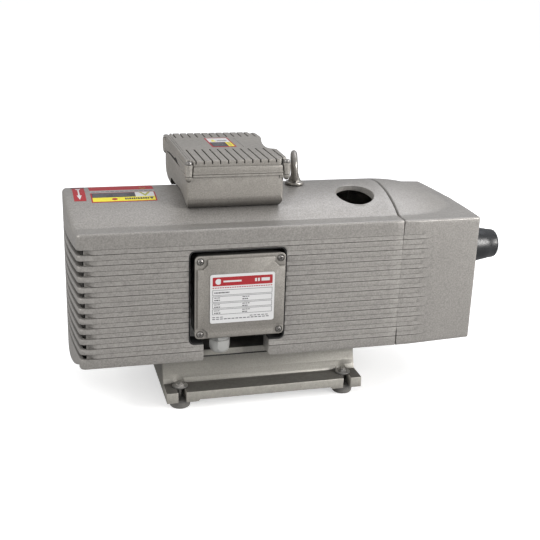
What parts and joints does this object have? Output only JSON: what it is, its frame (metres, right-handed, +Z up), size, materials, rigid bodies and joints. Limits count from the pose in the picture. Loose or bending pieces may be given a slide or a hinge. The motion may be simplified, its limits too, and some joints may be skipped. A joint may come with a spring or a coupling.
{
  "type": "rotary vane vacuum pump",
  "caption": "Oil-free rotary vane vacuum pump with its motor under one louvred hood, on a slotted foot frame, with a suction port on top and a regulator knob at the pump end.",
  "frame": {"origin": "middle of the outline box in plan, on the plane the rubber feet stand on", "axes": "+X along the shaft towards the pump end and the regulator knob, -Y to the front with the terminal box, +Z up"},
  "size_m": [0.5538, 0.2198, 0.31],
  "materials": {
    "paint": "fine-textured warm grey powder paint",
    "zinc_steel": "zinc plated, satin",
    "ground_steel": "ground",
    "cast_aluminium": "as cast",
    "cast_iron": "machined grey iron",
    "graphite": "sintered carbon graphite, matt",
    "copper_winding": "varnished copper winding in a laminated core",
    "laminated_steel": "laminated steel with a cast cage",
    "grey_rubber": "matt moulded rubber",
    "gasket_rubber": "matt",
    "knob_plastic": "dark slate, satin",
    "gland_plastic": "light grey polyamide, satin",
    "black_plastic": "satin",
    "capacitor_plastic": "moulded can",
    "printed_plate": "printed, with a coloured header bar",
    "filter_paper": "pleated"
  },
  "bodies": {
    "housing": {"base_frame": "paint", "cable_gland_body": "gland_plastic", "cable_gland_nut": "gland_plastic", "capacitor_box_body": "paint", "capacitor_box_gasket": "gasket_rubber", "capacitor_box_lid": "paint", "capacitor_lid_screw_1": "zinc_steel", "capacitor_lid_screw_2": "zinc_steel", "capacitor_lid_screw_3": "zinc_steel", "capacitor_lid_screw_4": "zinc_steel", "drive_end_flange": "cast_aluminium", "end_bearing": "ground_steel", "end_cover": "paint", "exhaust_silencer": "cast_aluminium", "foot_bolt_front_left": "zinc_steel", "foot_bolt_front_right": "zinc_steel", "foot_bolt_rear_left": "zinc_steel", "foot_bolt_rear_right": "zinc_steel", "front_bearing": "ground_steel", "inlet_filter": "filter_paper", "inlet_port": "cast_aluminium", "lifting_eyebolt": "zinc_steel", "motor_end_shield": "cast_aluminium", "motor_frame": "cast_aluminium", "motor_hood": "paint", "nameplate": "printed_plate", "pump_cylinder": "cast_iron", "rear_bearing": "ground_steel", "regulator_body": "ground_steel", "regulator_spring": "zinc_steel", "rubber_foot_front_left": "grey_rubber", "rubber_foot_front_right": "grey_rubber", "rubber_foot_rear_left": "grey_rubber", "rubber_foot_rear_right": "grey_rubber", "run_capacitor": "capacitor_plastic", "side_plate_cover_side": "cast_iron", "side_plate_motor_side": "cast_iron", "start_capacitor": "capacitor_plastic", "stator_core_and_winding": "copper_winding", "terminal_block": "black_plastic", "terminal_box_body": "paint", "terminal_box_gasket": "gasket_rubber", "terminal_box_lid": "paint", "terminal_lid_screw_1": "zinc_steel", "terminal_lid_screw_2": "zinc_steel", "terminal_lid_screw_3": "zinc_steel", "terminal_lid_screw_4": "zinc_steel"},
    "rotating_group": {"shaft": "ground_steel", "motor_rotor": "laminated_steel", "cooling_fan": "black_plastic", "pump_rotor": "cast_iron"},
    "regulator_knob": {"regulator_knob": "knob_plastic"},
    "regulator_spring_plate": {"regulator_spring_plate": "zinc_steel"},
    "inlet_valve_disc": {"inlet_valve_disc": "graphite"},
    "vane_1": {"vane_1": "graphite"},
    "vane_2": {"vane_2": "graphite"},
    "vane_3": {"vane_3": "graphite"},
    "vane_4": {"vane_4": "graphite"},
    "vane_5": {"vane_5": "graphite"},
    "vane_6": {"vane_6": "graphite"}
  },
  "joints": [
    {"name": "rotor_spin", "type": "hinge", "parent": "housing", "child": "rotating_group", "pos_m": [-0.0394, 0.00295, 0.156], "axis": [1, 0, 0], "continuous": true},
    {"name": "vane_1_slide", "type": "slide", "parent": "rotating_group", "child": "vane_1", "axis": [0, 0.9659, 0.2588], "range_m": [0, 0.003]},
    {"name": "vane_2_slide", "type": "slide", "parent": "rotating_group", "child": "vane_2", "axis": [0, 0.2588, 0.9659], "range_m": [0, 0.003]},
    {"name": "vane_3_slide", "type": "slide", "parent": "rotating_group", "child": "vane_3", "axis": [0, -0.7071, 0.7071], "range_m": [0, 0.003]},
    {"name": "vane_4_slide", "type": "slide", "parent": "rotating_group", "child": "vane_4", "axis": [0, -0.9659, -0.2588], "range_m": [0, 0.003]},
    {"name": "vane_5_slide", "type": "slide", "parent": "rotating_group", "child": "vane_5", "axis": [0, -0.2588, -0.9659], "range_m": [0, 0.003]},
    {"name": "vane_6_slide", "type": "slide", "parent": "rotating_group", "child": "vane_6", "axis": [0, 0.7071, -0.7071], "range_m": [0, 0.003]},
    {"name": "regulator_turn", "type": "hinge", "parent": "housing", "child": "regulator_knob", "pos_m": [0.2556, -0.04905, 0.186], "axis": [1, 0, 0], "range_deg": [-180, 180]},
    {"name": "spring_plate_slide", "type": "slide", "parent": "housing", "child": "regulator_spring_plate", "axis": [1, 0, 0], "range_m": [-0.00075, 0.00075], "deforming": ["regulator_spring"]},
    {"name": "inlet_valve_slide", "type": "slide", "parent": "housing", "child": "inlet_valve_disc", "axis": [0, 0, -1], "range_m": [0, 0.005]}
  ],
  "couplings": [
    {"joint": "vane_2_slide", "follows": "vane_1_slide", "ratio": 1},
    {"joint": "vane_3_slide", "follows": "vane_1_slide", "ratio": 1},
    {"joint": "vane_4_slide", "follows": "vane_1_slide", "ratio": 1},
    {"joint": "vane_5_slide", "follows": "vane_1_slide", "ratio": 1},
    {"joint": "vane_6_slide", "follows": "vane_1_slide", "ratio": 1},
    {"joint": "spring_plate_slide", "follows": "regulator_turn", "m_per_rad": 0.000238}
  ]
}
